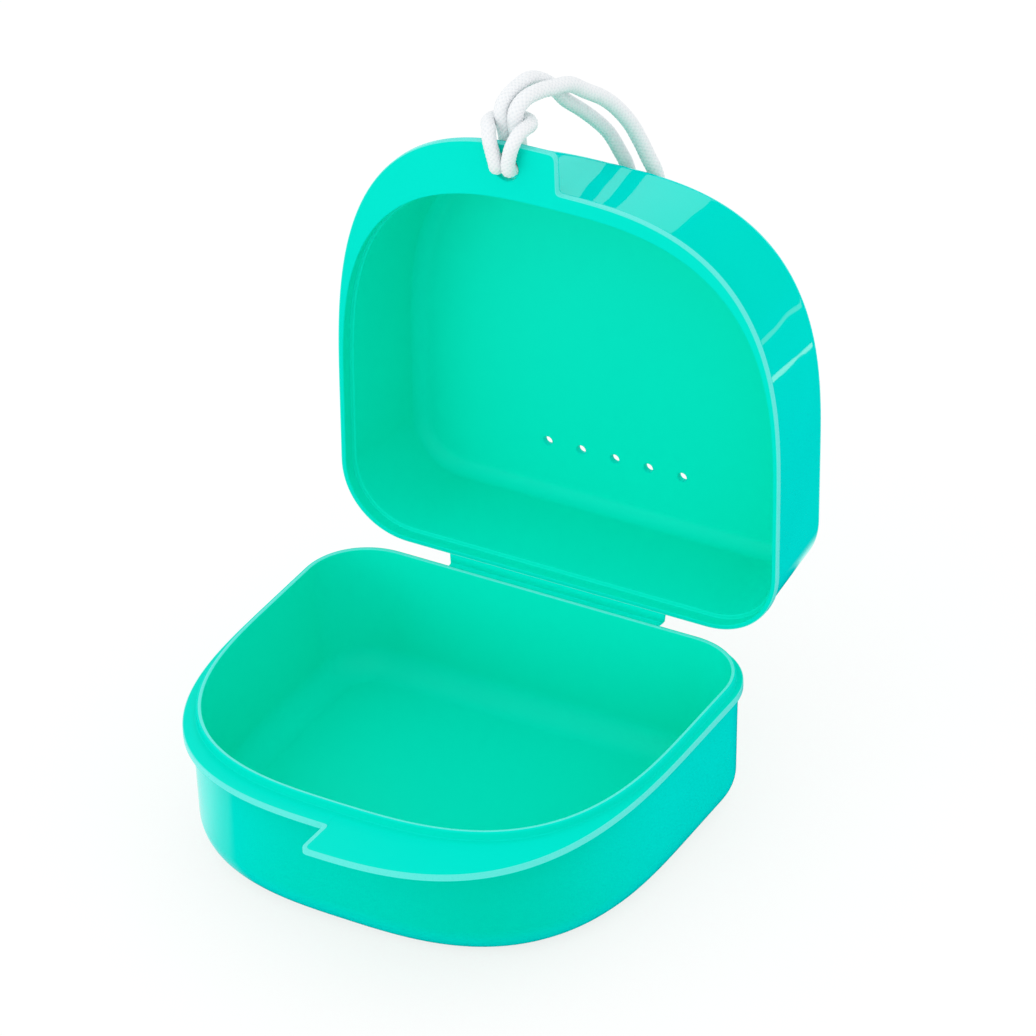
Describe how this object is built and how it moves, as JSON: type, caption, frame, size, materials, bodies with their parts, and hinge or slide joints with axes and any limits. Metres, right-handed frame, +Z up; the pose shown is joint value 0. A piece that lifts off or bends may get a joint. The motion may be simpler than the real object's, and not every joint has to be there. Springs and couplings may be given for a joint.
{
  "type": "denture case",
  "caption": "Hinged plastic denture case with matching D-shaped halves, offset thumb lips, a fitted rim, a vented lid and a braided wrist cord.",
  "frame": {"origin": "on the flat underside, midway between the hinge edge and the front edge of the narrow rim flange, centred across the case", "axes": "+Z up from the surface it rests on, +Y towards the hinge, +X to the right of someone who faces the open case"},
  "size_m": [0.082, 0.1104, 0.1138],
  "materials": {
    "turquoise_plastic": "polished outside, satin inside, slightly translucent",
    "white_cord": "round braid"
  },
  "bodies": {
    "base": {"base_shell": "turquoise_plastic", "hinge_leaf_base": "turquoise_plastic"},
    "lid": {"lid_shell": "turquoise_plastic", "hinge_leaf_lid": "turquoise_plastic", "lanyard_hitch": "white_cord", "lanyard_inner_strand": "white_cord", "lanyard_outer_strand": "white_cord", "lanyard_knot": "white_cord"}
  },
  "joints": [
    {"name": "lid_hinge", "type": "hinge", "parent": "base", "child": "lid", "pos_m": [0, 0.03815, 0.02335], "axis": [-1, 0, 0], "range_deg": [-91.3, 80]}
  ]
}
